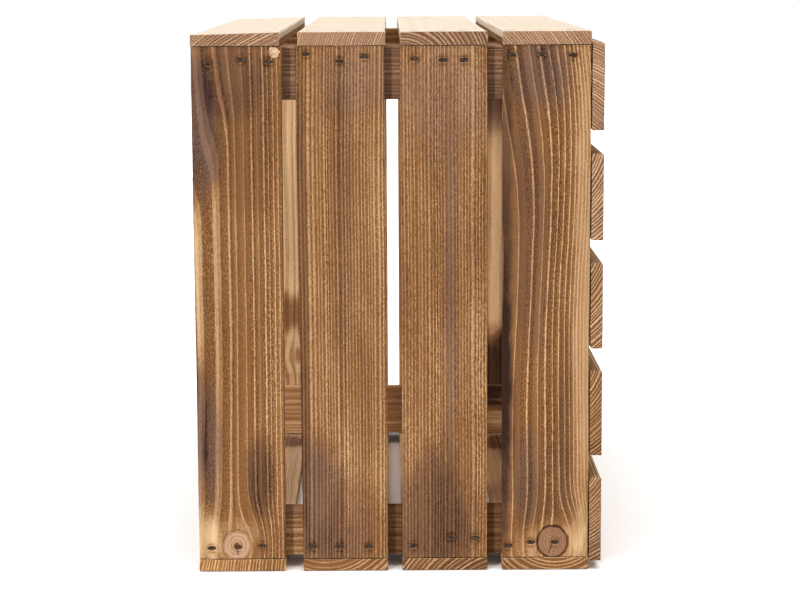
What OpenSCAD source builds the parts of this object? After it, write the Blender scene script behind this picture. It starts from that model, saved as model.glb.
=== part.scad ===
// Slatted softwood fruit crate, standing on one long side with its open mouth towards -X.
// Boards are fixed to four triangular corner posts with sunk staples.
// X runs from the mouth to the bottom boards, Y along the crate and Z across it, in millimetres.
// The pieces are placed from the crate's lower front mouth corner, and moved to the frame last.

/* [Crate] */
// Length of the crate, along Y
crate_length = 500; // [300:5:700]
// Width of the crate, from one long side to the other, along Z
crate_width = 400; // [300:5:560]
// Depth of the crate, from its mouth to the outside of its bottom, along X
crate_depth = 300; // [240:5:420]

/* [Walls] */
// Thickness of the boards of the two ends
end_board_t = 11; // [8:0.5:16]
// Thickness of the boards of the upper long side
upper_board_t = 10.5; // [8:0.5:16]
// Thickness of the boards of the lower long side
lower_board_t = 9.5; // [8:0.5:16]
// Gap between the wall boards
wall_gap = 10; // [5:0.5:16]
// Gap behind the boards that frame the mouth
mouth_gap = 12.5; // [5:0.5:18]
// Extra width of the boards beside the mouth and beside the bottom
edge_board_extra = 1; // [0:0.5:6]

/* [Bottom] */
// Thickness of the bottom boards
bottom_board_t = 9.5; // [7:0.5:14]
// Gap between the bottom boards
bottom_gap = 16.25; // [8:0.25:22]
// How far the outermost bottom boards stay inside the crate's long sides
bottom_inset = 7.5; // [4:0.5:10]
// How far the bottom boards as a set sit below the crate's middle
bottom_low = 1.2; // [0:0.1:2]

/* [Edges] */
// Width of the worn bevel on the long edges of every board
board_ease = 0.8; // [0.3:0.1:2]

/* [Posts] */
// Width of the post face that lies on the end boards
post_on_end = 39; // [32:1:60]
// Width of the post face that lies on the side boards
post_on_side = 41; // [38:1:60]
// Thickness left at the post's two sharp edges
post_nose = 1.2; // [0.6:0.1:3]

/* [Staples] */
// Width of a staple across its crown
staple_crown = 5.8; // [4:0.1:7]
// Length of a staple's legs
staple_leg = 25; // [20:1:26]
// Width of the flattened wire
wire_w = 1.3; // [0.9:0.05:1.6]
// Thickness of the flattened wire
wire_t = 1.05; // [0.7:0.05:1.3]
// Depth of the crown under the wood's surface
staple_sunk = 1; // [0.4:0.1:1.5]
// Clearance between a staple and the wood around it
staple_clearance = 0.05; // [0.03:0.01:0.15]

/* [Wear] */
// Wood lost from the mouth edge of the first upper side board
upper_taper = 1.8; // [0.2:0.1:3]
// Width of the broken corner of the first front board
chip_w = 7; // [3:0.5:12]
// Height of the broken corner of the first front board
chip_h = 9; // [3:0.5:14]
// Depth of the broken corner of the first front board
chip_d = 3.5; // [1:0.5:6]

/* [Hidden] */
wall_boards = 4;
bottom_boards = 5;
wall_ids = [for (i = [1 : wall_boards]) i];
bottom_ids = [for (i = [1 : bottom_boards]) i];
WALLS = ["front_end_board_", "back_end_board_", "upper_side_board_", "lower_side_board_"];
POSTS = ["front_upper_post", "front_lower_post", "back_upper_post", "back_lower_post"];
STAPLES = [
    "front_end_staples", "back_end_staples", "upper_side_staples", "lower_side_staples", "bottom_staples"
];

wood_light = "#9b7148";
wood_dark = "#7a5233";
post_colour = "#5d3c27";
steel = "#5f5b57";

// The walls end where the bottom boards begin
wall_depth = crate_depth - bottom_board_t;
wall_gaps = mouth_gap + (wall_boards - 2) * wall_gap;
inner_board_w = (wall_depth - wall_gaps - 2 * edge_board_extra) / wall_boards;
edge_board_w = inner_board_w + edge_board_extra;
end_board_l = crate_width - upper_board_t - lower_board_t;
bottom_board_w = (crate_width - 2 * bottom_inset - (bottom_boards - 1) * bottom_gap) / bottom_boards;

// The end boards are stapled by hand, so each staple has its own place: a share of the board's
// width, and a distance in from the side board. Rows go from the mouth to the bottom.
front_upper_row = [
    [[0.20, 12.0], [0.57, 9.5], [0.87, 11.0]],
    [[0.10, 5.5], [0.48, 11.0], [0.76, 7.5]],
    [[0.17, 9.5], [0.49, 10.5], [0.73, 10.5]],
    [[0.11, 7.0], [0.44, 6.5], [0.79, 7.5]]
];
front_lower_row = [
    [[0.15, 8.5], [0.45, 9.0], [0.73, 10.0]],
    [[0.12, 9.0], [0.43, 9.0], [0.77, 9.0]],
    [[0.14, 9.5], [0.57, 15.5], [0.86, 15.0]],
    [[0.08, 9.0], [0.34, 11.5], [0.61, 11.5]]
];
// The other rows repeat these two, board for board or from the last board to the first
function turned(rows) = [for (i = [0 : wall_boards - 1]) rows[wall_boards - 1 - i]];
back_upper_row = turned(front_lower_row);
back_lower_row = turned(front_upper_row);

staple_reach = staple_sunk + staple_leg;
// Staples of the long sides pass behind the tips of those of the ends
side_row_back = staple_reach + wire_w;
side_row_scatter = 0.4;
inner_bottom_shares = [0.18, 0.5, 0.82];
outer_bottom_shares = [0.45, 0.85];
// A bottom staple in a post stands clear of those that come in from the two walls
post_staple_y = end_board_t + 4;
post_staple_rise = 0.55 * post_on_end;

function side_t(upper) = upper ? upper_board_t : lower_board_t;

// Where a wall board starts along X, and how wide it is, counted from 0 at the mouth
function board_w(i) = (i == 0 || i == wall_boards - 1) ? edge_board_w : inner_board_w;
function board_x(i) = i == 0 ? 0 : board_x(i - 1) + board_w(i - 1) + (i == 1 ? mouth_gap : wall_gap);
function bottom_z(i) = bottom_inset - bottom_low + i * (bottom_board_w + bottom_gap);
function staple_x(i, share) = board_x(i) + share * board_w(i);
// The upper mouth board is worn thin towards the mouth
function worn(i, share) = i == 0 ? upper_taper * (1 - share) : 0;
function side_row(rows, i) = [
    for (s = rows[i]) [s[0], side_row_back + side_row_scatter * (s[1] - min([for (r = rows[i]) r[1]]))]
];

// Mirrors its children to the back end, to the upper side, or both
module at_end(back, upper) {
    translate([0, back ? crate_length : 0, upper ? crate_width : 0])
        mirror([0, back ? 1 : 0, 0])
            mirror([0, 0, upper ? 1 : 0])
                children();
}

// Outline of a board with its worn bevels, from the origin
module board_outline(w, t) {
    e = board_ease;
    polygon([[e, 0], [w - e, 0], [w, e], [w, t - e], [w - e, t], [e, t], [0, t - e], [0, e]]);
}

// The same outline with the mouth edge worn thin on the outer face
module worn_outline(w, t, loss) {
    e = board_ease;
    low = loss * (w - 2 * e) / w;
    polygon([[e, low], [w - e, 0], [w, e], [w, t - e], [w - e, t], [e, t], [0, t - e], [0, low + e]]);
}

// Extrudes an XZ outline along Y, over the whole length of the crate
module along_crate() {
    translate([0, crate_length, 0])
        rotate([90, 0, 0])
            linear_extrude(crate_length)
                children();
}

// A staple, or the hole it leaves when it grows by a clearance and opens at the surface.
// Its crown lies along X under the surface, and its legs point along +Y to chisel tips.
module staple_form(grow, open) {
    half = staple_crown / 2 + grow;
    inner = staple_crown / 2 - wire_t - grow;
    top = open ? -1 : staple_sunk;
    under = staple_sunk + wire_t + grow;
    tip = staple_reach + grow;
    shoulder = tip - wire_t;
    linear_extrude(wire_w + 2 * grow, center = true)
        polygon([
            [-half, top], [half, top], [half, tip], [inner, shoulder], [inner, under],
            [-inner, under], [-inner, shoulder], [-half, tip]
        ]);
}

module staple() { staple_form(0, false); }

module staple_hole() { staple_form(staple_clearance, true); }

// Puts a staple in each place of one row of an end, seen from outside at the lower front
module end_row(rows, i, upper) {
    for (s = rows[i])
        translate([staple_x(i, s[0]), 0, side_t(upper) + s[1]])
            children();
}

// The same on a long side, where the legs point into the crate along Z
module side_row_of(rows, i, worn_row) {
    for (s = side_row(rows, i))
        translate([staple_x(i, s[0]), s[1], worn_row ? worn(i, s[0]) : 0])
            rotate([90, 0, 0])
                children();
}

// A place on the outside of the bottom, where the legs point along -X and the crown lies along Z
module on_bottom(y, z) {
    translate([crate_depth, y, z])
        rotate([90, 0, 0])
            rotate([0, 0, 90])
                children();
}

// One end of a bottom board: its staples go into the edge of an end board, and into the post
module bottom_row(i) {
    last = i == bottom_boards - 1;
    outer = i == 0 || last;
    for (share = outer ? outer_bottom_shares : inner_bottom_shares)
        on_bottom(end_board_t / 2, bottom_z(i) + bottom_board_w * (last ? 1 - share : share))
            children();
    if (outer)
        on_bottom(post_staple_y, last ? crate_width - side_t(true) - post_staple_rise
                                      : side_t(false) + post_staple_rise)
            children();
}

// Both rows of one end, then both rows of one long side, as children placed on board i
module end_rows(back, i) {
    at_end(back, false) end_row(back ? back_lower_row : front_lower_row, i, false) children();
    at_end(back, true) end_row(back ? back_upper_row : front_upper_row, i, true) children();
}

module side_rows(upper, i) {
    at_end(false, upper) side_row_of(upper ? front_upper_row : front_lower_row, i, upper) children();
    at_end(true, upper) side_row_of(upper ? back_upper_row : back_lower_row, i, upper) children();
}

module bottom_rows(i) {
    at_end(false, false) bottom_row(i) children();
    at_end(true, false) bottom_row(i) children();
}

// The corner that broke off the first front board, as a slanted cut
module chip() {
    n = [1 / chip_w, -1 / chip_d, 1 / chip_h];
    big = 4 * max(chip_w, chip_h, chip_d);
    translate([edge_board_w - chip_w, 0, crate_width - upper_board_t])
        rotate([0, acos(n[2] / norm(n)), atan2(n[1], n[0])])
            translate([-big / 2, -big / 2, 0])
                cube(big);
}

module end_board(back, i) {
    color(i % 2 == 0 ? wood_light : wood_dark)
        difference() {
            translate([board_x(i), back ? crate_length - end_board_t : 0, lower_board_t])
                linear_extrude(end_board_l)
                    board_outline(board_w(i), end_board_t);
            end_rows(back, i) staple_hole();
            if (i == 0 && !back) chip();
            if (i == wall_boards - 1)
                for (b = [0 : bottom_boards - 1]) bottom_rows(b) staple_hole();
        }
}

module side_board(upper, i) {
    color(i % 2 == 0 ? wood_dark : wood_light)
        difference() {
            at_end(false, upper)
                translate([board_x(i), 0, 0])
                    along_crate()
                        worn_outline(board_w(i), side_t(upper), upper && i == 0 ? upper_taper : 0);
            side_rows(upper, i) staple_hole();
        }
}

module bottom_board(i) {
    color(i % 2 == 0 ? wood_light : wood_dark)
        difference() {
            translate([wall_depth, 0, bottom_z(i)])
                along_crate()
                    board_outline(bottom_board_t, bottom_board_w);
            bottom_rows(i) staple_hole();
        }
}

// A triangular post in the angle between an end and a long side, from the mouth to the bottom
module post(back, upper) {
    color(post_colour)
        difference() {
            at_end(back, upper)
                translate([0, end_board_t, side_t(upper)])
                    rotate([90, 0, 90])
                        linear_extrude(wall_depth)
                            polygon([
                                [0, 0], [post_on_side, 0], [post_on_side, post_nose],
                                [post_nose, post_on_end], [0, post_on_end]
                            ]);
            for (i = [0 : wall_boards - 1]) {
                end_rows(back, i) staple_hole();
                side_rows(upper, i) staple_hole();
            }
            bottom_rows(upper ? bottom_boards - 1 : 0) staple_hole();
        }
}

module end_staples(back) {
    color(steel)
        for (i = [0 : wall_boards - 1]) end_rows(back, i) staple();
}

module side_staples(upper) {
    color(steel)
        for (i = [0 : wall_boards - 1]) side_rows(upper, i) staple();
}

module bottom_staples() {
    color(steel)
        for (i = [0 : bottom_boards - 1]) bottom_rows(i) staple();
}

// The frame's origin is the middle of the crate's footprint
module standing() {
    translate([-crate_depth / 2, -crate_length / 2, 0])
        children();
}

// Wall boards are numbered from the mouth to the bottom, and bottom boards from the floor up
for (i = wall_ids) {
    standing() end_board(false, i - 1);
    standing() end_board(true, i - 1);
    standing() side_board(true, i - 1);
    standing() side_board(false, i - 1);
}
for (i = bottom_ids)
    standing() bottom_board(i - 1);
standing() post(false, true);  // front_upper_post
standing() post(false, false);  // front_lower_post
standing() post(true, true);  // back_upper_post
standing() post(true, false);  // back_lower_post
standing() end_staples(false);  // front_end_staples
standing() end_staples(true);  // back_end_staples
standing() side_staples(true);  // upper_side_staples
standing() side_staples(false);  // lower_side_staples
standing() bottom_staples();
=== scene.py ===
"""Slatted fruit crate of brushed, flame-darkened softwood, standing on one long side.

Every board is grown by a Geometry Nodes tree round its own grain: the same ring field shapes the
relief of the mesh and paints the wood, so pale late wood stands proud of the burnt early wood.
"""

import math
import random
from functools import reduce

import bmesh
import bpy
from mathutils import Matrix, Vector


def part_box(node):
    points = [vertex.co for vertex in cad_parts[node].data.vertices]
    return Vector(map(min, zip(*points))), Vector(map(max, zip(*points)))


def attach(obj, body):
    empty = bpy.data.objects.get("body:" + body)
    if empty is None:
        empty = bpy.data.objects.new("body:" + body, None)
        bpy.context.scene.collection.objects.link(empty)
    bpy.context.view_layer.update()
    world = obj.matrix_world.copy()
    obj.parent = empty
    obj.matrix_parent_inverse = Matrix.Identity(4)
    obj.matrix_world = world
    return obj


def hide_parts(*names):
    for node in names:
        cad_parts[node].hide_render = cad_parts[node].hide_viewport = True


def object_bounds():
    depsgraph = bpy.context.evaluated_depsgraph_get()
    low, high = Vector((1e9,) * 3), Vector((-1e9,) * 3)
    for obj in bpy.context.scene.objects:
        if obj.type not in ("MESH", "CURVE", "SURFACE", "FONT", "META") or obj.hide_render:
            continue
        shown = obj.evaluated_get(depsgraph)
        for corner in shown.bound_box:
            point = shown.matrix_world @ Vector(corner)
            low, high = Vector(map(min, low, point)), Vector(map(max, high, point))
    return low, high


bl_info = {
    "name": "Slatted wooden crate",
    "version": (1, 0, 0),
    "blender": (4, 5, 0),
    "location": "View3D > Sidebar > Crate",
    "description": "Builds the worn boards, posts and staples of a slatted crate on its CAD frame",
    "category": "Add Mesh",
}

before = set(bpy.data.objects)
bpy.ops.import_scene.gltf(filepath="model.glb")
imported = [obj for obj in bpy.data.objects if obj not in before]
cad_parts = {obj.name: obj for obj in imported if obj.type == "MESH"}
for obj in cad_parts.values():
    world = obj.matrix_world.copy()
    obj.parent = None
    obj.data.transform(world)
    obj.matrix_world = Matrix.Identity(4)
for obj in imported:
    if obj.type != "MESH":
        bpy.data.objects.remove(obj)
cad_low, cad_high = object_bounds()

MM = 0.001

CHIPPED_BOARD = "front_end_board_1"
TAPERED_BOARD = "upper_side_board_1"
TAPER = 0.0018
# Spacing of a board's mesh in metres, round the board and along it
FINE_MESH = (0.00095, 0.0024)
PLAIN_MESH = (0.0016, 0.004)
# Cells of that mesh that round an edge, and layers added because a board is thin
EDGE_CELLS, EXTRA_LAYERS = 3, 4
# Mesh points round a corner post and along it
POST_POINTS = (110, 80)
# How far past its corner a post's tip starts, in edge radii and in metres, because rounding it
# takes that much off
TIP_RADII, TIP_EXTRA = 1.6, 0.0003
# Depths of a board's wear in metres: long waves, brush marks, their mean, and nicks in its edges
WAVES, BRUSH_MARKS, WEAR_MEAN, NICKS = 0.0009, 0.00022, 0.00035, 0.0012
# How far the darkening round a dent reaches from its middle, from full to none, in metres: partly
# soot, partly painted shade
DENT_SHADE_AND_SOOT_REACH = (0.0026, 0.0062)
# A dent deeper than this is the chip, with raw wood in it
DEEPEST_DENT = 0.0022
# How far the floor lies below the crate, in metres
FLOOR_GAP = 0.0002
# A thickness in millimetres that no post reaches, so that it has no inner face
NO_INNER_FACE = 1000
# The camera fitted to the photo's edges: yaw, pitch and roll in degrees, and its place in metres
CAMERA_TURN = (0.2554, 8.5277, -0.2923)
CAMERA_PLACE = (-0.0063, -1.8523, 0.4445)
# Step across a board, in millimetres, over which the spacing of its drawn lines is read
SLOPE_STEP = 0.8
# What the sawn ends' warmer tone multiplies the colour by
WARM_END = (1.06, 0.94, 0.66, 1)


def srgb(red, green, blue):
    """Turns a colour picked on a 0 to 255 screen scale into Blender's linear values."""
    values = [c / 255 for c in (red, green, blue)]
    return tuple(c / 12.92 if c <= 0.04045 else ((c + 0.055) / 1.055) ** 2.4 for c in values)


# Turn from the frame to a wall's own axes: across the board, down into it, and along its grain
WALL_TURNS = {
    "front_end": Matrix(((1, 0, 0), (0, 1, 0), (0, 0, 1))),
    "back_end": Matrix(((-1, 0, 0), (0, -1, 0), (0, 0, 1))),
    "upper_side": Matrix(((1, 0, 0), (0, 0, -1), (0, 1, 0))),
    "lower_side": Matrix(((1, 0, 0), (0, 0, 1), (0, -1, 0))),
    "bottom": Matrix(((0, 0, -1), (-1, 0, 0), (0, 1, 0))),
}

# What several boards share: narrow, even rings, and near-white outer faces, a painted highlight for
# the top light
FINE_RINGS = {"late": 0.42, "tremble": 0.12, "cloud": 0.45, "uneven": 0.4}
PAINTED_GLARE = {"tone": 0.92, "contrast": 0.12, "fleck": 0.1, "cloud": 0.2, "char": 0.0, "painted_glare_share": 0.6}


def sawn(tone, contrast, char=0.3):
    """Looks of a board's sawn ends: tone, contrast of the rings, and share of purple char."""
    return {"end_tone": tone, "end_contrast": contrast, "end_char": char}


# How the grain of each board runs, in millimetres from the middle of its outer face.
# lines: places of the pale late wood. broad: the number of a line, and how much wider it is.
# pith and pitch: for boards without lines, centre of the rings, across and down, and their spacing.
# drift: how far the grain wanders sideways at each height. lean: how that height slopes across.
# spread: from where to where across the board the drift changes, and its share at either.
# lean_in: how far the board's upper corners sit to the right, for the left and for the right one.
# knots: across, along, radius, kind.
# marks: across, along, half width, half height, change of tone, share of purple char. Where a mark
# is painted shade or a painted highlight, a comment at it says so.
# tone and inner: tone of the outer face and of the inner one.
# The other numbers weigh what ring_field and wood_material call by the same name.
GRAINS = {
    "front_end_board_1": {
        "lines": (-42, -28.4, -15.0, -5.8, -0.9, 5.6, 11.4, 15.6, 20.2, 23.4, 27.2, 30.5, 34),
        "broad": ((1, 2.3), (2, 2.1), (3, 0.4)), "lean_in": (0.0, 1.5),
        "drift": ((-250, -2.0), (-130, -2.5), (-60, -1.0), (0, 0), (86, 0), (133, -0.6),
                  (154, -2.9), (198, -8.8), (251, -12.4), (300, -15)),
        "spread": (-26, 12, 1.0, 0.15), "lean": 2.6, "late": 0.56, "contrast": 0.30,
        "years": 0.12, "climb": 0.14, "fleck": 0.32, "uneven": 0.35,
        "knots": ((-4.1, -179.4, 10.6, "pale"),),
        "marks": (
            (-28, 135, 17, 62, -0.20, 0.95), (-2, 168, 30, 30, -0.13, 0.35),
            (8, 120, 26, 60, -0.10, 0.10), (-30, -85, 6, 60, -0.26, 0.9),
            (-22, -105, 8, 50, -0.14, 0.7), (14, -128, 11, 34, -0.26, 0.35),
            (-26, -174, 11, 26, 0.33, 0.0), (-8, -176, 26, 20, 0.20, 0.0),
            (28, -20, 9, 170, 0.06, 0.0), (-28, 20, 4, 90, 0.10, 0.0),
        ),
        "tone": 0.50},
    "front_end_board_2": {
        **FINE_RINGS, "pith": (-160, 60), "pitch": 2.4, "contrast": 0.29, "fleck": 0.35,
        "lean_in": (-2.1, -1.2),
        "marks": (
            (-32, 20, 7, 190, -0.22, 0.25), (-1, 60, 8, 140, -0.12, 0.2),
            (26, 0, 12, 190, 0.08, 0.0), (-22, -150, 24, 56, -0.20, 0.6),
            (5, -170, 20, 40, -0.08, 0.3), (8, 165, 30, 30, -0.06, 0.45),
            (-12, -176, 26, 16, -0.05, 0.5),
        ),
        "tone": 0.47},
    "front_end_board_3": {
        **FINE_RINGS, "pith": (-190, 70), "pitch": 2.35, "contrast": 0.26, "fleck": 0.32,
        "marks": (
            (5, 20, 6, 180, -0.10, 0.5), (-8, -160, 34, 56, -0.22, 0.4),
            (27, -60, 6, 160, 0.06, 0.0), (0, 155, 36, 50, 0.02, 0.4),
        ),
        "tone": 0.50},
    "front_end_board_4": {
        "lines": (-46, -36, -24.1, -13.3, -5.7, -0.2, 5.0, 9.6, 14.0, 17.6, 20.5, 23.1, 25.7, 28.3,
                  31, 34),
        "drift": ((-240, 1.8), (-190, 1.4), (-120, 0.6), (-34, 0.2), (0, 1.2), (30, 2.7), (65, 3.8),
                  (90, 4.2), (115, 3.5), (142, 1.4), (162, -0.8), (195, -5), (232, -9.2),
                  (270, -13)),
        "lean": 2.0, "late": 0.64, "contrast": 0.38, "years": 0.12, "climb": 0.16, "fleck": 0.34,
        "uneven": 0.15,
        "knots": ((5.6, -178.4, 11.6, "brown"),),
        "marks": (
            (-30, 20, 6, 200, -0.24, 0.4), (-31, -80, 8, 110, -0.26, 0.5),
            (-4, 170, 24, 30, -0.14, 0.7), (-12, 60, 18, 110, -0.08, 0.25),
            (27, 0, 9, 240, 0.24, 0.0), (15, -80, 6, 80, -0.12, 0.15),
            (-10, -150, 16, 30, -0.06, 0.1), (24, -172, 13, 24, 0.17, 0.0),
            (6, -181, 32, 21, 0.24, 0.0), (-14, -130, 12, 40, -0.10, 0.5),
        ),
        "tone": 0.48},
    "back_end_board_1": {
        "marks": ((-14, -80, 22, 20, -0.40, 0.1), (-26, -122, 9, 9, -0.26, 0.1),
                  (-14, -148, 26, 12, -0.14, 0.0), (-14, -122, 22, 22, -0.10, 0.0)),
        "knots": ((-22, -122, 6.5, "hidden"),),
        "inner": 0.86, "cloud": 0.3, "char": 0.1, "pitch": 4.6},
    "back_end_board_4": {
        "marks": ((12, 124, 34, 34, -0.34, 0.8), (12, -135, 34, 40, -0.80, 0.3)),
        "inner": 0.78, "cloud": 0.25, "char": 0.1, "pitch": 5.0},
    "upper_side_board_1": {**PAINTED_GLARE, "pith": (90, 150), "pitch": 1.9, **sawn(0.51, 3.2, 0.55)},
    "upper_side_board_2": {
        **PAINTED_GLARE, "pith": (160, 60), "pitch": 1.7, "tone": 0.93, **sawn(0.61, 2.4, 0.55)},
    "upper_side_board_3": {**PAINTED_GLARE, "pith": (-32, 34), "pitch": 2.9, **sawn(0.42, 3.4, 0.5)},
    "upper_side_board_4": {**PAINTED_GLARE, "pith": (-110, 90), "pitch": 1.8, **sawn(0.62, 2.7, 0.55)},
    "lower_side_board_1": {
        "pith": (-120, 30), "pitch": 2.4, "inner": 1.04, "contrast": 0.42, "char": 0.4,
        **sawn(0.57, 0.95), "warm": 0.8,
        # The first mark is painted shade: a dark band on the inner face in front of the far post's
        # foot
        "marks": ((0, -166, 70, 28, -0.55, 0.6), (22, 0, 9, 400, -0.1, 0.5))},
    "lower_side_board_2": {
        "pith": (-12, 46), "pitch": 3.8, "inner": 0.9, **sawn(0.51, 1.3), "warm": 0.6},
    "lower_side_board_3": {
        "pith": (56, -60), "pitch": 3.0, "inner": 0.9, **sawn(0.36, 1.7), "warm": 0.4},
    "lower_side_board_4": {
        # Its inner tone is raised above the other boards': painted light, standing in for light
        # falling on that face
        "pith": (10, 40), "pitch": 3.4, "inner": 1.24, "contrast": 0.38,
        **sawn(0.46, 0.9), "warm": 0.6,
        # The mark is painted shade: a dark band on the inner face in front of the far post's foot
        "marks": ((0, -158, 70, 40, -0.80, 0.4),)},
    "bottom_board_1": {"pith": (-74, 66), "pitch": 2.3, **sawn(0.41, 1.5, 0.3)},
    "bottom_board_2": {"pith": (-60, 70), "pitch": 2.3, **sawn(0.38, 1.4, 0.15), "warm": 0.2},
    "bottom_board_3": {"pith": (-64, 78), "pitch": 2.3, **sawn(0.42, 1.9, 0.25)},
    "bottom_board_4": {"pith": (-56, 72), "pitch": 2.2, **sawn(0.48, 2.4, 0.5)},
    "bottom_board_5": {"pith": (90, 60), "pitch": 1.9, **sawn(0.53, 1.6, 0.55)},
    "front_upper_post": {"marks": ((0, 0, 60, 400, 0.0, 0.6),), "tone": 0.40, "contrast": 0.24},
    # Painted shade: its mark darkens the part of the post seen through the middle and right gaps,
    # where shade falls
    "front_lower_post": {"marks": ((0, 45, 80, 72, -0.33, 0.2),), "tone": 0.54, "contrast": 0.22},
    "back_lower_post": {
        # The last mark is a painted highlight: a pale line along the top edge, where the edge
        # catches the light
        "marks": ((0, 50, 80, 66, -0.33, 0.35), (12, 100, 17, 26, -0.40, 0.1),
                  (-9, 101, 11, 20, 0.32, 0.0), (19.8, 0, 2.0, 400, 0.34, 0.0)),
        "tone": 0.62, "contrast": 0.16, "fleck": 0.1},
}

# Looks of a knot: spacing and tone of its rings, size and tone of its heart, tone of its wood,
# slope of its crack, tone of its rim, and its greatest share of purple.
# A knot of any other kind only bends the grain.
KNOTS = {
    "pale": {"pitch": 2.7, "ring": -0.18, "heart": 0.30, "heart_tone": -0.32, "tone": 0.86,
             "slope": 0.12, "rim": -0.14, "tint": 0.55},
    "brown": {"pitch": 2.1, "ring": -0.10, "heart": 0.45, "heart_tone": 0.10, "tone": 0.55,
              "slope": -0.35, "rim": -0.44, "tint": 0.45},
}


def prop(name, description, default, low, high=100.0, unit="NONE"):
    """A number that the sidebar shows."""
    return bpy.props.FloatProperty(
        name=name, description=description, default=default, min=low, max=high, unit=unit)


def length(name, description, default, low, high):
    """A length in metres."""
    return prop(name, description, default, low, high, "LENGTH")


def hue(name, description, *tone):
    """A colour, given on a 0 to 255 screen scale."""
    return bpy.props.FloatVectorProperty(
        name=name, description=description, subtype="COLOR", default=srgb(*tone))


class WoodSettings(bpy.types.PropertyGroup):
    """Sizes and colours of the boards and posts"""

    edge_radius: length("Edge radius", "Rounding of a board's long edges, worn by brushing",
                        0.0011, 0.0003, 0.003)
    end_radius: length("End radius", "Rounding of a board's sawn ends", 0.0006, 0.0001, 0.003)
    relief: length("Relief", "How far brushing has sunk the soft early wood", 0.00028, 0.0, 0.001)
    joint_gap: length("Joint gap", "Gap left where two pieces of wood meet", 0.00012, 0.0, 0.001)
    post_radius: length("Post edge radius", "Rounding of a corner post's edges",
                        0.0007, 0.0003, 0.004)
    saw_marks: length("Saw marks", "Depth of the saw marks on the corner posts", 0.0005, 0.0, 0.002)
    dent_width: length("Dent width", "Width of the torn dent of a staple, across its crown",
                       0.0070, 0.004, 0.012)
    dent_height: length("Dent height", "Height of that dent, across the wire",
                        0.0038, 0.0015, 0.008)
    dent_depth: length("Dent depth", "Depth of that dent", 0.0021, 0.0005, 0.004)
    chip_size: length("Chip size", "Size of the chip at the upper corner of the first front board",
                      0.0085, 0.003, 0.015)
    burnt: hue("Burnt", "Darkest early wood", 50, 30, 18)
    toasted: hue("Toasted", "Middle tone of the flamed wood", 141, 96, 56)
    pale: hue("Pale", "Late wood that brushing has cleaned", 233, 196, 150)
    # Painted highlight: near-white colour of the upper side's outer faces, standing in for the
    # glare of the light from above
    painted_glare_colour: hue("Glare", "Wood on the sunny upper side", 255, 246, 232)
    char_dark: hue("Char, dark", "Darkest tone of the purple-brown char", 58, 38, 34)
    char_light: hue("Char, light", "Lightest tone of the purple-brown char", 190, 150, 126)


class StageSettings(bpy.types.PropertyGroup):
    """Camera, lamps and floor"""

    lens: prop("Lens", "Focal length of the camera", 99.48, 20, 200)
    key_strength: prop("Key light", "Strength of the lamp at the front left", 1.88, 0)
    top_strength: prop("Top light", "Strength of the wide lamp overhead", 2.2, 0)
    sky_strength: prop("Room light", "Strength of the even light of the white room", 0.36, 0)
    floor_radius: length("Floor radius", "Half the size of the floor", 6.0, 1, 100)


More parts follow.
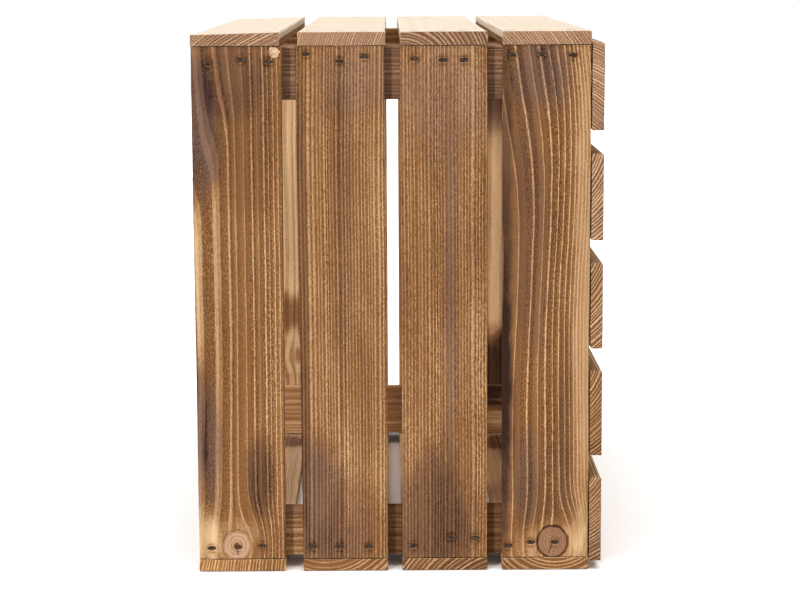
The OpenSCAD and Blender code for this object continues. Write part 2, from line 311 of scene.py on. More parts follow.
class Graph:
    """Adds nodes to a shader or geometry tree. An input may be a number, a tuple or a socket."""

    def __init__(self, tree):
        self.nodes = tree.nodes
        self.links = tree.links

    def feed(self, socket, value):
        if isinstance(value, bpy.types.NodeSocket):
            self.links.new(value, socket)
        else:
            socket.default_value = value

    def put(self, kind, inputs=None, **settings):
        node = self.nodes.new(kind)
        for key, value in settings.items():
            setattr(node, key, value)
        for key, value in (inputs or {}).items():
            self.feed(node.inputs[key], value)
        return node

    def math(self, operation, *values):
        node = self.put("ShaderNodeMath", operation=operation)
        for socket, value in zip(node.inputs, values):
            self.feed(socket, value)
        return node.outputs[0]

    def add(self, *values):
        return reduce(lambda total, value: self.math("ADD", total, value), values)

    def mul(self, *values):
        return reduce(lambda total, value: self.math("MULTIPLY", total, value), values)

    def sub(self, a, b):
        return self.math("SUBTRACT", a, b)

    def div(self, a, b):
        return self.math("DIVIDE", a, b)

    def abs(self, value):
        return self.math("ABSOLUTE", value)

    def rest(self, value):
        """What is left of one."""
        return self.sub(1.0, value)

    def blend(self, first, second, share):
        """Goes from the first value to the second as the share goes from 0 to 1."""
        return self.add(self.mul(first, self.rest(share)), self.mul(second, share))

    def vector(self, operation, *values, scale=None):
        node = self.put("ShaderNodeVectorMath", operation=operation)
        for socket, value in zip(node.inputs, values):
            self.feed(socket, value)
        if scale is not None:
            self.feed(node.inputs["Scale"], scale)
        return node.outputs["Value" if operation == "LENGTH" else "Vector"]

    def split(self, vector):
        return self.put("ShaderNodeSeparateXYZ", {"Vector": vector}).outputs[:]

    def join(self, x, y, z):
        return self.put("ShaderNodeCombineXYZ", {"X": x, "Y": y, "Z": z}).outputs[0]

    def ramp(self, value, low, high, start=0.0, end=1.0, kind="SMOOTHSTEP"):
        """Takes a value from low to high, and gives start to end."""
        node = self.put("ShaderNodeMapRange", interpolation_type=kind, clamp=True)
        for key, amount in (("Value", value), ("From Min", low), ("From Max", high),
                            ("To Min", start), ("To Max", end)):
            self.feed(node.inputs[key], amount)
        return node.outputs[0]

    def noise(self, vector, detail=1.0, roughness=0.5):
        """Noise round nought, from about -0.5 to 0.5."""
        node = self.put(
            "ShaderNodeTexNoise",
            {"Vector": vector, "Scale": 1.0, "Detail": detail, "Roughness": roughness},
            noise_dimensions="3D")
        return self.sub(node.outputs[0], 0.5)

    def dice(self, value):
        """A number from 0 to 1 that is always the same for the same value."""
        node = self.put("ShaderNodeTexWhiteNoise", {"W": value}, noise_dimensions="1D")
        return node.outputs[0]

    def curve(self, value, points, straight=False):
        """Reads a curve, given as its points (value, result)."""
        low, high = points[0][0], points[-1][0]
        least = min(y for _, y in points)
        span = max(max(y for _, y in points) - least, 1e-6)
        node = self.put("ShaderNodeFloatCurve")
        drawn = node.mapping.curves[0]
        spots = [((x - low) / (high - low), (y - least) / span) for x, y in points]
        for spot in spots[1:-1]:
            drawn.points.new(*spot)
        drawn.points[0].location = spots[0]
        drawn.points[-1].location = spots[-1]
        if straight:
            for point in drawn.points:
                point.handle_type = "VECTOR"
        node.mapping.update()
        self.feed(node.inputs["Value"], self.ramp(value, low, high, kind="LINEAR"))
        return self.add(self.mul(node.outputs[0], span), least)

    def mix(self, factor, first, second, blend_type="MIX"):
        """Mixes two colours."""
        node = self.put("ShaderNodeMix", {"Factor": factor}, data_type="RGBA",
                        blend_type=blend_type)
        self.feed(node.inputs[6], first)
        self.feed(node.inputs[7], second)
        return node.outputs[2]

    def surface(self, colour, height, strength, distance, inputs):
        """Ends a material in a bumpy surface."""
        bump = self.put("ShaderNodeBump",
                        {"Strength": strength, "Distance": distance, "Height": height})
        shader = self.put("ShaderNodeBsdfPrincipled",
                          {"Base Color": colour, "Normal": bump.outputs[0], **inputs})
        self.end(shader.outputs[0], "ShaderNodeOutputMaterial")

    def end(self, socket, kind="NodeGroupOutput"):
        self.links.new(socket, self.put(kind).inputs[0])

    def shape(self, kind, inputs, **settings):
        """Adds a geometry node and gives its first result."""
        return self.put("GeometryNode" + kind, inputs, **settings).outputs[0]


def ring_field(g, place, grain):
    """Growth rings at a place in the wood.

    Gives the late wood's share, the place's three parts, the ring's number and how far the place is
    into the ring, from -0.5 to 0.5 with the pale line at nought.
    """
    across, down, along = g.split(place)
    slow = g.join(g.mul(across, 0.014), g.mul(down, 0.014), g.mul(along, 0.007))
    slow = g.vector("ADD", slow, (grain["seed"] * 7.31, grain["seed"] * 3.17, 0))
    wander = g.mul(g.noise(slow, detail=1.5), grain["wander"])
    height = along
    if grain["lean"]:
        height = g.sub(along, g.mul(g.math("MINIMUM", across, 12.0), grain["lean"]))
    low, high, at_low, at_high = grain["spread"]
    drift = g.mul(g.curve(height, grain["drift"]), g.ramp(across, low, high, at_low, at_high))
    x = g.sub(g.sub(across, drift), wander)
    # The rings bow round each knot
    for knot_x, knot_z, radius, _ in grain["knots"]:
        dx, dz = g.sub(across, knot_x), g.sub(along, knot_z)
        near = g.math("POWER", g.add(g.math("POWER", g.mul(dx, 1 / (1.9 * radius)), 2.0),
                                     g.math("POWER", g.mul(dz, 1 / (2.5 * radius)), 2.0)), 1.3)
        pull = g.mul(g.math("EXPONENT", g.mul(near, -1.0)), g.ramp(dx, -8.0, 5.0, 0.45, 0.93))
        x = g.sub(x, g.mul(pull, g.sub(x, knot_x)))
    tremble = g.noise(g.join(g.mul(across, 0.35), g.mul(down, 0.35), g.mul(along, 0.03)))
    tremble = g.mul(tremble, grain["tremble"])
    if grain["lines"]:
        points = [(line, float(i)) for i, line in enumerate(grain["lines"])]
        x = g.add(x, g.mul(tremble, 4.0), g.mul(down, 0.25))
        rings = g.curve(x, points, straight=True)
        pitch = g.sub(g.curve(g.add(x, SLOPE_STEP), points, straight=True), rings)
        line = g.mul(pitch, grain["late"])
    else:
        pith_x, pith_y = grain["pith"]
        reach = g.vector("LENGTH", g.join(g.sub(x, pith_x), g.sub(down, pith_y), 0.0))
        pulse = g.noise(g.join(g.mul(reach, 0.11), grain["seed"] * 1.7, 0.0), detail=2.0)
        rings = g.add(g.mul(reach, 1 / grain["pitch"]), g.mul(pulse, 2.6), tremble)
        line = grain["late"] / 2
    number = g.math("ROUND", rings)
    chance = g.dice(g.add(number, grain["seed"]))
    half = g.mul(g.add(g.mul(chance, 0.8), 0.6), line)
    into = g.sub(rings, number)
    away = g.abs(into)
    for ring, reach in grain["broad"]:
        wider = g.mul(g.math("COMPARE", number, ring, 0.1), pitch, reach / SLOPE_STEP)
        away = g.sub(away, wider)
    late = g.rest(g.ramp(g.div(away, half), 0.5, 1.4))
    return late, (across, down, along), number, into


def flow(g, parts, across, down, along, seed, **settings):
    """Noise with its own scale in each of the board's directions, in marks per millimetre."""
    a, d, l = parts
    place = g.join(g.mul(a, across), g.mul(d, down), g.mul(l, along))
    return g.noise(g.vector("ADD", place, (seed, seed * 1.37, seed * 0.61)), **settings)


def new_material(name):
    """An empty material, and the graph that fills it."""
    material = bpy.data.materials.new(name)
    material.use_nodes = True
    material.node_tree.nodes.clear()
    return material, Graph(material.node_tree)


def paint_knot(g, parts, knot, seed, fleck, cloud, tone, char):
    """Lays a round knot over the tone and the char of the wood."""
    across, _, along = parts
    knot_x, knot_z, radius, kind = knot
    look = KNOTS[kind]
    dx, dz = g.sub(across, knot_x), g.sub(along, knot_z)
    reach = g.vector("LENGTH", g.join(dx, g.mul(dz, 0.95), 0.0))
    reach = g.add(reach, g.mul(flow(g, parts, 0.13, 0.13, 0.13, seed + 11, detail=2.0), 3.4))
    inside = g.ramp(reach, radius * 0.93, radius * 1.05, 1.0, 0.0)
    circle = g.sub(g.math("FRACT", g.mul(reach, 1 / look["pitch"])), 0.5)
    circle = g.ramp(g.abs(circle), 0.0, 0.3, look["ring"], 0.03)
    heart = g.ramp(reach, 0.6, radius * look["heart"], look["heart_tone"], 0.0)
    core = g.add(look["tone"], circle, heart, g.mul(fleck, 0.10), g.mul(cloud, 0.3))
    crack = g.add(dx, g.mul(dz, look["slope"]),
                  g.mul(flow(g, parts, 0.3, 0.3, 0.3, seed + 13), 1.6))
    crack = g.mul(g.ramp(g.abs(crack), 0.2, 0.75, 1.0, 0.0),
                  g.ramp(dz, -radius * 0.85, -radius * 0.6), g.ramp(dz, -0.5, 1.0, 1.0, 0.0))
    core = g.sub(core, g.mul(crack, 0.42))
    rim = g.ramp(g.abs(g.sub(reach, radius)), 0.3, 1.4, look["rim"], 0.0)
    tint = g.ramp(reach, 0.0, radius * 0.4, 0.15, look["tint"])
    return g.add(g.blend(tone, core, inside), rim), g.blend(char, tint, inside)


def wood_material(name, turn, centre, grain, thickness, ends, settings):
    """Brushed, flame-darkened softwood whose rings follow the board's own grain."""
    material, g = new_material(name)
    place = g.put(
        "ShaderNodeMapping",
        {"Vector": g.put("ShaderNodeTexCoord").outputs["Object"],
         "Location": tuple(-c / MM for c in turn @ centre), "Rotation": turn.to_euler(),
         "Scale": (1 / MM,) * 3},
        vector_type="POINT").outputs[0]
    late, parts, number, into = ring_field(g, place, grain)
    across, down, along = parts
    seed = grain["seed"]

    fleck = flow(g, parts, 1.25, 1.25, 0.55, seed, detail=2.0, roughness=0.65)
    fleck = g.sub(g.ramp(fleck, -0.17, 0.17), 0.5)
    bead = g.ramp(flow(g, parts, 0.9, 0.9, 0.3, seed + 7), -0.2, 0.06, 0.7, 1.0)
    fibre = flow(g, parts, 1.3, 1.3, 0.02, seed + 3, detail=2.0)
    cloud = flow(g, parts, 0.022, 0.03, 0.008, seed + 5, detail=2.5, roughness=0.6)
    ragged = flow(g, parts, 0.10, 0.1, 0.035, seed + 9, detail=3.0, roughness=0.6)
    year = g.sub(g.dice(g.add(number, seed + 0.5)), 0.5)
    climb = g.math("FRACT", g.add(into, 1.0))
    end = g.ramp(g.abs(along), ends - 0.5, ends - 0.2) if ends else 0.0
    inner = g.ramp(down, thickness * 0.5 - 0.6, thickness * 0.5 + 0.6)
    inner = g.mul(inner, g.rest(end))

    def mask_of(mark, rough):
        """One inside a mark, nought outside, with a ragged edge."""
        mark_x, mark_z, half_x, half_z = mark[:4]
        off = g.vector("LENGTH", g.join(g.mul(g.sub(across, mark_x), 1 / half_x),
                                        g.mul(g.sub(along, mark_z), 1 / half_z), 0.0))
        return g.ramp(g.add(off, g.mul(ragged, rough)), 0.45, 1.25, 1.0, 0.0)

    # Rings are calmer on the inner face and in pale marks, and less bright in purple ones
    calm = g.mul(g.rest(g.mul(inner, 0.45)), g.add(1.0, g.mul(end, grain["end_contrast"] - 1.0)))
    for mark in grain["marks"]:
        if mark[4] >= 0.15:
            calm = g.mul(calm, g.rest(g.mul(mask_of(mark, 0.7), 0.65)))
    bright = g.mul(late, bead, calm, g.add(1.0, g.mul(year, -grain["uneven"])))
    rubbed = 0.0
    for ring, reach in grain["broad"]:
        rubbed = g.add(rubbed, g.mul(g.math("COMPARE", number, ring, 0.1), min(reach, 1.0)))
    bright = g.mul(bright, g.rest(g.mul(rubbed, 0.25)))
    for mark in grain["marks"]:
        if mark[5] > 0.9:
            bright = g.mul(bright, g.rest(g.mul(mask_of(mark, 0.7), 0.55)))
    tone = g.add(
        grain["tone"] - 0.10,
        g.mul(inner, grain["inner"] - grain["tone"]),
        g.mul(end, grain["end_tone"] - grain["tone"]),
        g.mul(year, grain["years"], g.rest(late)),
        g.mul(g.sub(climb, 0.5), grain["climb"], calm),
        g.mul(bright, grain["contrast"]),
        g.mul(fibre, 0.2),
        g.mul(cloud, grain["cloud"]),
    )
    char = g.ramp(g.mul(cloud, -1.0), 0.06, 0.26, 0.0, grain["char"])
    for mark in grain["marks"]:
        shift, share = mark[4:]
        mask = mask_of(mark, 0.9)
        tone = g.add(tone, g.mul(mask, shift))
        if share:
            char = g.math("MAXIMUM", char, g.mul(mask, share))
        else:
            char = g.mul(char, g.rest(mask))
    speck = g.mul(fleck, calm, grain["fleck"],
                  g.rest(g.mul(late, g.add(g.mul(rubbed, 0.35), 0.5))), g.rest(year))
    tone = g.add(tone, g.mul(speck, g.ramp(tone, 0.1, 0.45, 0.4, 1.0)))
    for knot in grain["knots"]:
        if knot[3] in KNOTS:
            tone, char = paint_knot(g, parts, knot, seed, fleck, cloud, tone, char)
    if ends:
        saw = g.join(g.mul(across, 0.5), g.mul(g.add(down, g.mul(across, 0.7)), 1.4), seed)
        tone = g.add(tone, g.mul(end, g.mul(g.noise(saw, detail=2.0), 0.2)))
        char = g.blend(char, grain["end_char"], end)
        # Darker round each staple dent: partly soot, partly painted shade round the hole
        nail = g.put("ShaderNodeAttribute", attribute_name="torn").outputs["Fac"]
        shade_and_soot = g.ramp(g.add(nail, g.mul(fleck, 0.5)), 0.25, 1.0)
        tone = g.sub(tone, g.mul(shade_and_soot, 0.26))
    tone = g.math("MAXIMUM", g.math("MINIMUM", tone, 1.0), 0.0)

    brown = g.put("ShaderNodeValToRGB", {"Fac": tone})
    brown.color_ramp.elements[0].color = (*settings.burnt, 1)
    brown.color_ramp.elements[1].color = (*settings.pale, 1)
    brown.color_ramp.elements.new(0.5).color = (*settings.toasted, 1)
    purple = g.mix(tone, (*settings.char_dark, 1), (*settings.char_light, 1))
    colour = g.mix(char, brown.outputs[0], purple)
    # Painted highlight: the upper side's outer faces go toward near white, standing in for the
    # glare of the light from above
    if grain["painted_glare_share"]:
        outer = g.mul(g.rest(inner), g.rest(end), grain["painted_glare_share"])
        colour = g.mix(outer, colour, (*settings.painted_glare_colour, 1))
    if ends and grain["warm"]:
        colour = g.mix(g.mul(end, grain["warm"]), colour, WARM_END, "MULTIPLY")

    height = g.add(g.mul(late, 0.5), g.mul(fleck, 0.35), g.mul(fibre, 0.5))
    rough = g.add(0.62, g.mul(fleck, -0.12), g.mul(char, 0.1))
    g.surface(colour, height, 0.55, 0.0005, {"Roughness": rough, "Specular IOR Level": 0.04})
    return material


def plain_wood(name, light, dark, scale, roughness):
    """Torn wood inside dents and chips."""
    material, g = new_material(name)
    where = g.put("ShaderNodeTexCoord").outputs["Object"]
    tear = g.put("ShaderNodeTexNoise", {"Vector": where, "Scale": scale, "Detail": 3.0}).outputs[0]
    colour = g.mix(g.ramp(tear, 0.42, 0.62), (*dark, 1), (*light, 1))
    g.surface(colour, tear, 0.7, 0.0005, {"Roughness": roughness, "Specular IOR Level": 0.25})
    return material


def new_tree(name, lengths, counts, materials):
    """A Geometry Nodes tree with its named inputs, the graph that fills it, and those inputs."""
    tree = bpy.data.node_groups.new(name, "GeometryNodeTree")
    for way in ("INPUT", "OUTPUT"):
        tree.interface.new_socket(name="Geometry", in_out=way, socket_type="NodeSocketGeometry")
    for kind, inputs in (("Float", lengths), ("Int", counts), ("Material", materials)):
        for label, value in inputs.items():
            socket = tree.interface.new_socket(
                name=label, in_out="INPUT", socket_type="NodeSocket" + kind)
            if kind == "Float":
                socket.subtype = "DISTANCE"
            if value is not None:
                socket.default_value = value
    g = Graph(tree)
    return tree, g, g.put("NodeGroupInput").outputs


def board_tree(name, grain):
    """Geometry Nodes tree of one worn board. Its input mesh holds one vertex for each torn dent."""
    tree, g, given = new_tree(
        name,
        {"Width": 0.064, "Thickness": 0.011, "Length": 0.378, "Edge Radius": 0.001,
         "End Radius": 0.0006, "Taper": 0.0, "Relief": 0.0003, "Left Lean": 0.0, "Right Lean": 0.0},
        {"Columns": 60, "Layers": 12, "Rows": 120},
        {"Wood": None, "Torn Wood": None, "Raw Wood": None})

    sizes = (given["Width"], given["Thickness"], given["Length"])
    counts = (given["Columns"], given["Layers"], given["Rows"])
    radii = (given["Edge Radius"], given["Edge Radius"], given["End Radius"])
    cube = g.shape("MeshCube", {"Size": (2, 2, 2), "Vertices X": counts[0],
                                "Vertices Y": counts[1], "Vertices Z": counts[2]})
    spot = g.put("GeometryNodeInputPosition").outputs[0]
    flat, bend = [], []
    for share, size, count, radius in zip(g.split(spot), sizes, counts, radii):
        side = g.math("SIGN", share)
        away = g.abs(share)
        turn = g.rest(g.div(2.0 * EDGE_CELLS, g.sub(count, 1.0)))
        inner = g.sub(g.mul(size, 0.5), radius)
        flat.append(g.mul(side, g.ramp(away, 0.0, turn, 0.0, inner, "LINEAR")))
        bend.append(g.mul(side, g.ramp(away, turn, 1.0, kind="LINEAR")))
    facing = g.vector("NORMALIZE", g.join(*bend))
    rounded = g.vector("ADD", g.join(*flat), g.vector("MULTIPLY", facing, g.join(*radii)))
    x, y, z = g.split(rounded)
    depth = g.add(y, g.mul(given["Thickness"], 0.5))
    worn = g.mul(given["Taper"], g.sub(0.5, g.div(x, given["Width"])))
    worn = g.mul(worn, g.rest(g.div(depth, given["Thickness"])))
    share = g.add(g.div(x, given["Width"]), 0.5)
    lean = g.mul(g.blend(given["Left Lean"], given["Right Lean"], share),
                 g.add(g.div(z, given["Length"]), 0.5))
    shaped = g.join(g.add(x, lean), g.add(depth, worn), z)

    # Brushing, waves and nicks sink the surface along its normal
    late, parts, _, _ = ring_field(g, g.vector("SCALE", shaped, scale=1 / MM), grain)
    seed = grain["seed"]
    fx, fy, fz = (g.abs(part) for part in g.split(facing))
    brushed = g.rest(fz)
    chatter = g.add(
        g.mul(flow(g, parts, 0.05, 0.05, 0.012, seed, detail=2.0), WAVES),
        g.mul(flow(g, parts, 0.5, 0.5, 0.06, seed + 2, detail=1.0), BRUSH_MARKS))
    nick = g.ramp(flow(g, parts, 0.06, 0.06, 0.045, seed + 4, detail=3.0, roughness=0.65),
                  0.02, 0.3, 0.0, NICKS)
    sink = g.add(g.mul(given["Relief"], g.rest(late), brushed),
                 g.mul(g.add(chatter, WEAR_MEAN), brushed),
                 g.mul(g.mul(fx, fy), 2.0, nick))
    place = g.vector("SUBTRACT", shaped, g.vector("SCALE", facing, scale=sink))
    body = g.shape("SetPosition", {"Geometry": cube, "Position": place})
    body = g.shape("SetMaterial", {"Geometry": body, "Material": given["Wood"]})
    nearby = g.put("GeometryNodeProximity", {0: given["Geometry"]}, target_element="POINTS")
    # Share of the darkening round the nearest dent, partly soot and partly painted shade, kept for
    # the wood's colour
    dent_shade_and_soot = g.ramp(nearby.outputs["Distance"], *DENT_SHADE_AND_SOOT_REACH, 1.0, 0.0)
    body = g.shape("StoreNamedAttribute", {"Geometry": body, "Name": "torn", "Value": dent_shade_and_soot},
                   data_type="FLOAT", domain="POINT")

    # Each point of the input becomes a torn dent of its own size
    size = g.shape("InputNamedAttribute", {"Name": "dent_size"}, data_type="FLOAT_VECTOR")
    ball = g.shape("MeshIcoSphere", {"Radius": 1.0, "Subdivisions": 3})
    dents = g.shape("InstanceOnPoints",
                    {"Points": given["Geometry"], "Instance": ball, "Scale": size})
    dents = g.shape("RealizeInstances", {"Geometry": dents})
    torn = g.put("ShaderNodeTexNoise", {"Vector": spot, "Scale": 620.0, "Detail": 2.0}).outputs[1]
    chipped = g.math("GREATER_THAN", g.split(size)[1], DEEPEST_DENT)
    torn = g.vector("SCALE", g.vector("SUBTRACT", torn, (0.5, 0.5, 0.5)),
                    scale=g.add(g.mul(chipped, 0.003), 0.0019))
    dents = g.shape("SetPosition", {"Geometry": dents, "Offset": torn})
    dents = g.shape("SetMaterial", {"Geometry": dents, "Material": given["Torn Wood"]})
    dents = g.shape("SetMaterial", {"Geometry": dents, "Selection": chipped,
                                    "Material": given["Raw Wood"]})
    body = g.shape("MeshBoolean", {0: body, 1: dents}, operation="DIFFERENCE", solver="MANIFOLD")
    body = g.shape("SetShadeSmooth", {"Geometry": body, "Shade Smooth": True})
    g.end(g.shape("RealizeInstances", {"Geometry": body}))
    return tree


def post_tree(name, grain):
    """Geometry Nodes tree of one rough sawn post. Its input mesh is the outline's three edges."""
    tree, g, given = new_tree(
        name,
        {"Length": 0.29, "Corner Radius": 0.0012, "Saw Marks": 0.0005, "Joint Gap": 0.0001},
        {"Around": 110, "Rows": 80}, {"Wood": None})
    outline = g.shape("MeshToCurve", {"Mesh": given["Geometry"]})
    outline = g.shape("FilletCurve", {
        "Curve": outline, "Radius": given["Corner Radius"], "Count": 4}, mode="POLY")
    outline = g.shape("ResampleCurve", {"Curve": outline, "Count": given["Around"]})
    half = g.mul(given["Length"], 0.5)
    path = g.shape("CurvePrimitiveLine", {
        "Start": g.join(0.0, 0.0, g.mul(half, -1.0)), "End": g.join(0.0, 0.0, half)})
    path = g.shape("ResampleCurve", {"Curve": path, "Count": given["Rows"]})
    body = g.shape("CurveToMesh", {"Curve": path, "Profile Curve": outline, "Fill Caps": True})
    spot = g.put("GeometryNodeInputPosition").outputs[0]
    late, parts, _, _ = ring_field(g, g.vector("SCALE", spot, scale=1 / MM), grain)
    facing = g.put("GeometryNodeInputNormal").outputs[0]
    saw = flow(g, parts, 0.06, 0.06, 0.35, grain["seed"], detail=2.0)
    tear = flow(g, parts, 0.7, 0.7, 0.05, grain["seed"] + 2, detail=1.0)
    marks = g.add(g.mul(saw, 0.7), g.mul(tear, 0.6), g.mul(late, -0.3), 0.6)
    sink = g.add(given["Joint Gap"], g.mul(marks, given["Saw Marks"]))
    body = g.shape("SetPosition", {
        "Geometry": body, "Offset": g.vector("SCALE", facing, scale=g.mul(sink, -1.0))})
    body = g.shape("SetShadeSmooth", {"Geometry": body, "Shade Smooth": True})
    body = g.shape("RealizeInstances", {"Geometry": body})
    g.end(g.shape("SetMaterial", {"Geometry": body, "Material": given["Wood"]}))
    return tree


def default_grain(name, seed):
    """A grain for any piece of wood, with what is drawn for this one laid over it."""
    dice = random.Random(seed)
    grain = {
        "seed": float(seed), "lines": None, "pith": (dice.uniform(-90, 90), dice.uniform(25, 80)),
        "pitch": dice.uniform(2.4, 4.2), "late": 0.45, "wander": dice.uniform(3, 9),
        "drift": ((-250, dice.uniform(-3, 3)), (-60, dice.uniform(-2, 2)),
                  (90, dice.uniform(-2, 2)), (250, dice.uniform(-3, 3))),
        "spread": (-60, 60, 1.0, 1.0), "lean": 0.0, "tremble": 0.2, "tone": dice.uniform(0.5, 0.6),
        "contrast": 0.28, "years": 0.1, "climb": 0.06, "cloud": 0.5, "char": 0.7, "fleck": 0.2,
        "inner": 0.68, **sawn(0.55, 1.0, 0.3), "warm": 0.0,
        "painted_glare_share": 0.0, "uneven": 0.7, "broad": (), "lean_in": (0.0, 0.0), "knots": (), "marks": (),
    }
    special = GRAINS.get(name, {})
    if special.get("marks") and "front_end" in name:
        grain.update(cloud=0.22, char=0.25, wander=2.0)
    grain.update(special)
    return grain


def staple_places(node):
    """Middle and size of each staple of a CAD node, read from its loose parts."""
    mesh = bmesh.new()
    mesh.from_mesh(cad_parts[node].data)
    bmesh.ops.remove_doubles(mesh, verts=mesh.verts, dist=1e-6)
    seen, places = set(), []
    for start in mesh.verts:
        if start in seen:
            continue
        island, todo = [], [start]
        seen.add(start)
        while todo:
            vertex = todo.pop()
            island.append(vertex.co.copy())
            for edge in vertex.link_edges:
                other = edge.other_vert(vertex)
                if other not in seen:
                    seen.add(other)
                    todo.append(other)
        low = Vector(map(min, *island))
        high = Vector(map(max, *island))
        places.append(((low + high) / 2, high - low))
    mesh.free()
    return places


def take_shape(points, tree, values, name):
    """Runs a Geometry Nodes tree on a mesh and keeps the result as a plain mesh object."""
    maker = bpy.data.objects.new(name + ".maker", points)
    bpy.context.scene.collection.objects.link(maker)
    modifier = maker.modifiers.new("Shape", "NODES")
    modifier.node_group = tree
    sockets = {item.name: item.identifier for item in tree.interface.items_tree
               if item.item_type == "SOCKET" and item.in_out == "INPUT"}
    for label, value in values.items():
        modifier[sockets[label]] = value
    graph = bpy.context.evaluated_depsgraph_get()
    mesh = bpy.data.meshes.new_from_object(maker.evaluated_get(graph), depsgraph=graph)
    maker.modifiers.clear()
    bpy.data.objects.remove(maker)
    mesh.name = name
    piece = bpy.data.objects.new(name, mesh)
    bpy.context.scene.collection.objects.link(piece)
    return piece


def put_in_place(mesh, turn, centre):
    """Moves a shape from a wall's own axes to its place in the frame."""
    place = turn.inverted().to_4x4()
    place.translation = centre
    mesh.transform(place)


def make_board(node, wall, staples, mesh_step, settings, torn, raw, seed):
    """Builds one worn board in the place of its CAD node."""
    turn = WALL_TURNS[wall]
    corners = [turn @ Vector(corner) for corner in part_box(node)]
    near = Vector(map(min, *corners))
    far = Vector(map(max, *corners))
    size = far - near
    centre_local = Vector(((near.x + far.x) / 2, near.y, (near.z + far.z) / 2))
    centre = turn.inverted() @ centre_local
    grain = default_grain(node, seed)

    dents = []
    half_w, half_h = settings.dent_width / 2, settings.dent_height / 2
    for middle, extent in staples:
        spot = turn @ middle - centre_local
        reach = turn @ extent
        if abs(spot.x) < size.x / 2 and abs(spot.z) < size.z / 2:
            along = abs(reach.z) > abs(reach.x)
            wide, tall = (half_h, half_w) if along else (half_w, half_h)
            dents.append(((spot.x, 0, spot.z), (wide, settings.dent_depth, tall)))
    if node == CHIPPED_BOARD:
        chip = settings.chip_size / 2
        dents.append(((size.x / 2 - chip, 0, size.z / 2 - chip), (chip, chip * 0.55, chip)))
    points = bpy.data.meshes.new(node + ".dents")
    points.from_pydata([spot for spot, _ in dents], [], [])
    attribute = points.attributes.new("dent_size", "FLOAT_VECTOR", "POINT")
    for item, (_, scale) in zip(attribute.data, dents):
        item.vector = scale

    wood = wood_material(
        node + ".wood", turn, centre, grain, size.y / MM, size.z / 2 / MM, settings)
    step, row = mesh_step
    left_lean, right_lean = grain["lean_in"]
    piece = take_shape(points, board_tree(node + ".shape", grain), {
        "Width": size.x, "Thickness": size.y, "Length": size.z - 2 * settings.joint_gap,
        "Edge Radius": settings.edge_radius, "End Radius": settings.end_radius,
        "Taper": TAPER if node == TAPERED_BOARD else 0.0, "Relief": settings.relief,
        "Left Lean": left_lean * MM, "Right Lean": right_lean * MM,
        "Columns": round(size.x / step), "Layers": round(size.y / step) + EXTRA_LAYERS,
        "Rows": round(size.z / row),
        "Wood": wood, "Torn Wood": torn, "Raw Wood": raw}, node + ".worn")
    if len(piece.data.vertices) < 1000:
        raise RuntimeError("the shape of " + node + " came out empty")
    put_in_place(piece.data, turn, centre)
    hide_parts(node)
    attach(piece, "root")
    return piece


def make_wall(wall, mesh_step, first_seed):
    """Builds the boards of one wall."""
    settings = bpy.context.scene.crate_wood
    torn = bpy.data.materials.get("torn_wood") or plain_wood(
        "torn_wood", srgb(150, 104, 66), srgb(34, 21, 15), 1400.0, 0.9)
    raw = bpy.data.materials.get("raw_wood") or plain_wood(
        "raw_wood", srgb(244, 222, 196), srgb(196, 152, 112), 900.0, 0.85)
    staples = staple_places(wall + "_staples")
    nodes = sorted(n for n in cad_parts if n.startswith(wall + "_board_"))
    if not nodes:
        raise RuntimeError("no CAD boards in " + wall)
    for i, node in enumerate(nodes):
        make_board(node, wall, staples, mesh_step, settings, torn, raw, first_seed + i)


class WallStep:
    """A step that builds walls, each given as its name, its mesh and the seed of its first board"""

    bl_options = {"REGISTER", "UNDO"}

    def execute(self, context):
        for wall in self.walls:
            make_wall(*wall)
        return {"FINISHED"}


class CRATE_OT_end_boards(WallStep, bpy.types.Operator):
    """Build the worn boards of both ends"""

    bl_idname = "crate.end_boards"
    bl_label = "End boards"
    walls = (("front_end", FINE_MESH, 11), ("back_end", PLAIN_MESH, 21))


class CRATE_OT_side_boards(WallStep, bpy.types.Operator):
    """Build the worn boards of both long sides"""

    bl_idname = "crate.side_boards"
    bl_label = "Side boards"
    walls = (("upper_side", PLAIN_MESH, 31), ("lower_side", PLAIN_MESH, 41))


class CRATE_OT_bottom_boards(WallStep, bpy.types.Operator):
    """Build the worn bottom boards"""

    bl_idname = "crate.bottom_boards"
    bl_label = "Bottom boards"
    walls = (("bottom", PLAIN_MESH, 51),)


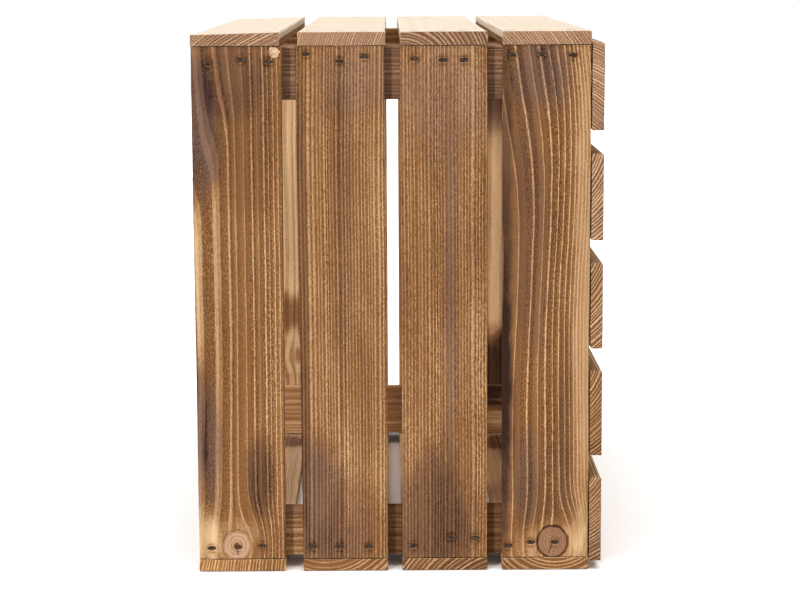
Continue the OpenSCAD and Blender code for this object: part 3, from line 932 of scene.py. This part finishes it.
class CRATE_OT_posts(bpy.types.Operator):
    """Build the four rough sawn corner posts"""

    bl_idname = "crate.posts"
    bl_label = "Corner posts"
    bl_options = {"REGISTER", "UNDO"}

    def execute(self, context):
        settings = context.scene.crate_wood
        turn = Matrix(((0, 1, 0), (0, 0, 1), (1, 0, 0)))
        around, rows = POST_POINTS
        for i, node in enumerate(sorted(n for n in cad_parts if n.endswith("_post"))):
            low, high = (Vector(corner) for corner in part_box(node))
            centre = (low + high) / 2
            grain = default_grain(node, 61 + i)
            wood = wood_material(
                node + ".wood", turn, centre, grain, NO_INNER_FACE, 0, settings)
            near_y, far_y = (low.y, high.y) if node.startswith("front") else (high.y, low.y)
            near_z, far_z = (high.z, low.z) if "upper" in node else (low.z, high.z)
            tip = TIP_RADII * settings.post_radius + TIP_EXTRA
            far_y += math.copysign(tip, far_y - near_y)
            far_z += math.copysign(tip, far_z - near_z)
            corners = [(y - centre.y, z - centre.z, 0)
                       for y, z in ((near_y, near_z), (far_y, near_z), (near_y, far_z))]
            if (far_y - near_y) * (far_z - near_z) < 0:
                corners.reverse()
            outline = bpy.data.meshes.new(node + ".outline")
            outline.from_pydata(corners, [(0, 1), (1, 2), (2, 0)], [])
            piece = take_shape(outline, post_tree(node + ".shape", grain), {
                "Length": high.x - low.x, "Corner Radius": settings.post_radius,
                "Saw Marks": settings.saw_marks, "Joint Gap": settings.joint_gap,
                "Around": around, "Rows": rows, "Wood": wood}, node + ".sawn")
            put_in_place(piece.data, turn, centre)
            mesh = bmesh.new()
            mesh.from_mesh(piece.data)
            bmesh.ops.recalc_face_normals(mesh, faces=mesh.faces)
            if mesh.calc_volume() < 1e-5:
                raise RuntimeError("the shape of " + node + " came out empty")
            mesh.to_mesh(piece.data)
            mesh.free()
            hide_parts(node)
            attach(piece, "root")
        return {"FINISHED"}


class CRATE_OT_staples(bpy.types.Operator):
    """Give the staples their dull, burnt steel"""

    bl_idname = "crate.staples"
    bl_label = "Staples"
    bl_options = {"REGISTER", "UNDO"}

    def execute(self, context):
        material, g = new_material("burnt_steel")
        where = g.put("ShaderNodeTexCoord").outputs["Object"]
        soot = g.put("ShaderNodeTexNoise", {"Vector": where, "Scale": 700.0, "Detail": 3.0})
        soot = soot.outputs[0]
        colour = g.mix(g.ramp(soot, 0.4, 0.65), (*srgb(30, 24, 21), 1), (*srgb(78, 66, 56), 1))
        g.surface(colour, soot, 0.3, 0.0001, {
            "Metallic": 0.6, "Roughness": g.ramp(soot, 0.35, 0.65, 0.75, 0.5, "LINEAR")})
        for node in sorted(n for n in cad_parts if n.endswith("_staples")):
            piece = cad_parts[node]
            piece.data.materials.clear()
            piece.data.materials.append(material)
        return {"FINISHED"}


class CRATE_OT_stage(bpy.types.Operator):
    """Set up the camera, the lamps, the white room and the floor"""

    bl_idname = "crate.stage"
    bl_label = "Stage"
    bl_options = {"REGISTER", "UNDO"}

    def execute(self, context):
        scene = context.scene
        settings = scene.crate_stage
        scene.view_settings.view_transform = "Standard"

        camera = bpy.data.objects.new("camera", bpy.data.cameras.new("camera"))
        scene.collection.objects.link(camera)
        camera.data.lens = settings.lens
        camera.data.sensor_width = 36
        camera.data.clip_end = 50
        yaw, pitch, roll = (math.radians(a) for a in CAMERA_TURN)
        ahead = Vector((math.sin(yaw) * math.cos(pitch), math.cos(yaw) * math.cos(pitch),
                        -math.sin(pitch)))
        level = Vector((math.cos(yaw), -math.sin(yaw), 0))
        upright = level.cross(ahead)
        right = level * math.cos(roll) + upright * math.sin(roll)
        up = upright * math.cos(roll) - level * math.sin(roll)
        pose = Matrix((right, up, -ahead)).transposed().to_4x4()
        pose.translation = CAMERA_PLACE
        camera.matrix_world = pose
        scene.camera = camera

        def sun(name, azimuth, elevation, strength, angle, colour):
            lamp = bpy.data.lights.new(name, "SUN")
            lamp.energy = strength
            lamp.angle = math.radians(angle)
            lamp.color = colour
            thing = bpy.data.objects.new(name, lamp)
            scene.collection.objects.link(thing)
            a, e = math.radians(azimuth), math.radians(elevation)
            back = Vector((math.sin(a) * math.cos(e), -math.cos(a) * math.cos(e), math.sin(e)))
            thing.matrix_world = back.to_track_quat("Z", "Y").to_matrix().to_4x4()

        sun("key_light", -30, 10, settings.key_strength, 6, (1.0, 0.98, 0.95))
        sun("top_light", 10, 80, settings.top_strength, 50, (1.0, 1.0, 1.0))

        world = bpy.data.worlds.new("white_room")
        scene.world = world
        world.use_nodes = True
        world.node_tree.nodes.clear()
        g = Graph(world.node_tree)
        path = g.put("ShaderNodeLightPath").outputs
        seen = g.math("MAXIMUM", path["Is Camera Ray"],
                      g.math("MAXIMUM", path["Is Glossy Ray"], path["Is Transmission Ray"]))
        strength = g.blend(settings.sky_strength, 1.0, seen)
        sky = g.put("ShaderNodeBackground", {"Color": (1, 1, 1, 1), "Strength": strength})
        g.end(sky.outputs[0], "ShaderNodeOutputWorld")

        r = settings.floor_radius
        mesh = bpy.data.meshes.new("floor")
        mesh.from_pydata([(-r, -r, 0), (r, -r, 0), (r, r, 0), (-r, r, 0)], [], [(0, 1, 2, 3)])
        floor = bpy.data.objects.new("floor", mesh)
        floor.location.z = cad_low.z - FLOOR_GAP
        scene.collection.objects.link(floor)
        paint, g = new_material("pale_floor")
        path = g.put("ShaderNodeLightPath").outputs
        seen = g.math("MAXIMUM", path["Is Camera Ray"], path["Is Glossy Ray"])
        shade = g.add(0.78, g.mul(seen, 0.5))
        matt = g.put("ShaderNodeBsdfDiffuse", {"Color": g.join(shade, shade, shade)})
        white = g.put("ShaderNodeEmission", {"Color": (1, 1, 1, 1), "Strength": 1.0})
        both = g.put("ShaderNodeMixShader", {
            "Fac": g.mul(seen, 0.02), 1: matt.outputs[0], 2: white.outputs[0]})
        g.end(both.outputs[0], "ShaderNodeOutputMaterial")
        mesh.materials.append(paint)
        return {"FINISHED"}


class CRATE_PT_panel(bpy.types.Panel):
    """Lists the crate's steps in the sidebar"""

    bl_idname = "CRATE_PT_panel"
    bl_label = "Slatted crate"
    bl_space_type = "VIEW_3D"
    bl_region_type = "UI"
    bl_category = "Crate"

    def draw(self, context):
        column = self.layout.column()
        for step in STEPS:
            column.operator(step.bl_idname)
        for group in (context.scene.crate_wood, context.scene.crate_stage):
            box = self.layout.box()
            for key in group.__annotations__:
                box.prop(group, key)


STEPS = (CRATE_OT_stage, CRATE_OT_end_boards, CRATE_OT_side_boards, CRATE_OT_bottom_boards,
         CRATE_OT_posts, CRATE_OT_staples)
CLASSES = (WoodSettings, StageSettings, *STEPS, CRATE_PT_panel)


def register():
    for kind in CLASSES:
        bpy.utils.register_class(kind)
    bpy.types.Scene.crate_wood = bpy.props.PointerProperty(type=WoodSettings)
    bpy.types.Scene.crate_stage = bpy.props.PointerProperty(type=StageSettings)


def unregister():
    del bpy.types.Scene.crate_stage
    del bpy.types.Scene.crate_wood
    for kind in reversed(CLASSES):
        bpy.utils.unregister_class(kind)


def main():
    register()
    bpy.ops.crate.stage()
    bpy.ops.crate.end_boards()
    bpy.ops.crate.side_boards()
    bpy.ops.crate.bottom_boards()
    bpy.ops.crate.posts()
    bpy.ops.crate.staples()


if __name__ == "__main__":
    main()
